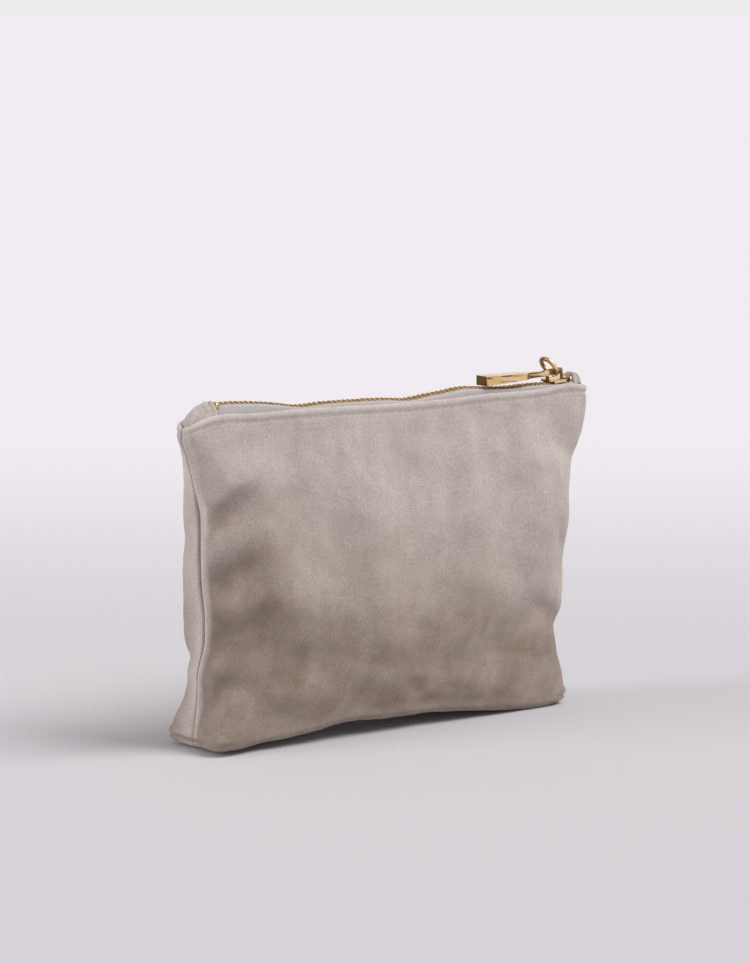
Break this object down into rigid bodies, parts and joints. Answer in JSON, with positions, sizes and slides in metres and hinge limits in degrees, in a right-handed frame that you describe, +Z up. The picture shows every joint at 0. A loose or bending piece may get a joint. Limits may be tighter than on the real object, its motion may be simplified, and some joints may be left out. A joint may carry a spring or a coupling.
{
  "type": "zip pouch",
  "caption": "Soft suede zip pouch for make-up with boxed bottom corners, a metal-toothed zip, a slider and a bar puller on a ring.",
  "frame": {"origin": "Middle of the base, on the surface that the pouch stands on.", "axes": "+X along the zip towards the closed end, -Y is the front, +Z is up."},
  "size_m": [0.208, 0.0437, 0.1545],
  "materials": {
    "suede": "taupe-grey suede with a short soft nap",
    "lining": "plain woven lining cloth",
    "zip_tape": "light grey woven zip tape",
    "thread": "matching sewing thread",
    "teeth": "antique brass, slightly dull",
    "stops": "polished pale gold",
    "slider_metal": "polished pale gold plating",
    "puller_metal": "polished pale gold plating"
  },
  "bodies": {
    "bag": {"front_panel": "suede", "back_panel": "suede", "front_lining": "lining", "back_lining": "lining", "left_end_tab": "suede", "right_end_tab": "suede", "left_tab_stitches": "thread", "right_tab_stitches": "thread", "front_tape_ends": "zip_tape", "back_tape_ends": "zip_tape", "front_end_teeth": "teeth", "back_end_teeth": "teeth", "top_stops": "stops", "bottom_stop": "stops", "front_topstitch_ends": "thread", "back_topstitch_ends": "thread"},
    "front_mouth": {"front_panel_upper": "suede", "front_lining_upper": "lining", "front_tape": "zip_tape", "front_teeth": "teeth", "front_topstitch": "thread"},
    "back_mouth": {"back_panel_upper": "suede", "back_lining_upper": "lining", "back_tape": "zip_tape", "back_teeth": "teeth", "back_topstitch": "thread"},
    "slider": {"slider_body": "slider_metal", "slider_bail": "slider_metal"},
    "puller": {"puller_bar": "puller_metal"},
    "ring": {"pull_ring": "puller_metal"}
  },
  "joints": [
    {"name": "front_mouth_open", "type": "hinge", "parent": "bag", "child": "front_mouth", "pos_m": [0, -0.0185, 0.062], "axis": [1, 0, 0], "range_deg": [0, 12]},
    {"name": "back_mouth_open", "type": "hinge", "parent": "bag", "child": "back_mouth", "pos_m": [0, -0.0055, 0.062], "axis": [-1, 0, 0], "range_deg": [0, 12]},
    {"name": "slider_slide", "type": "slide", "parent": "bag", "child": "slider", "axis": [-0.9998, 0, 0.0175], "range_m": [0, 0.1742]},
    {"name": "puller_swing", "type": "hinge", "parent": "slider", "child": "puller", "pos_m": [0.08929, -0.012, 0.14718], "axis": [0, 1, 0], "range_deg": [0, 100]},
    {"name": "ring_swing", "type": "hinge", "parent": "puller", "child": "ring", "pos_m": [0.08889, -0.012, 0.14771], "axis": [0, 1, 0], "range_deg": [0, 25]}
  ],
  "couplings": [
    {"joint": "back_mouth_open", "follows": "front_mouth_open", "ratio": 1}
  ]
}
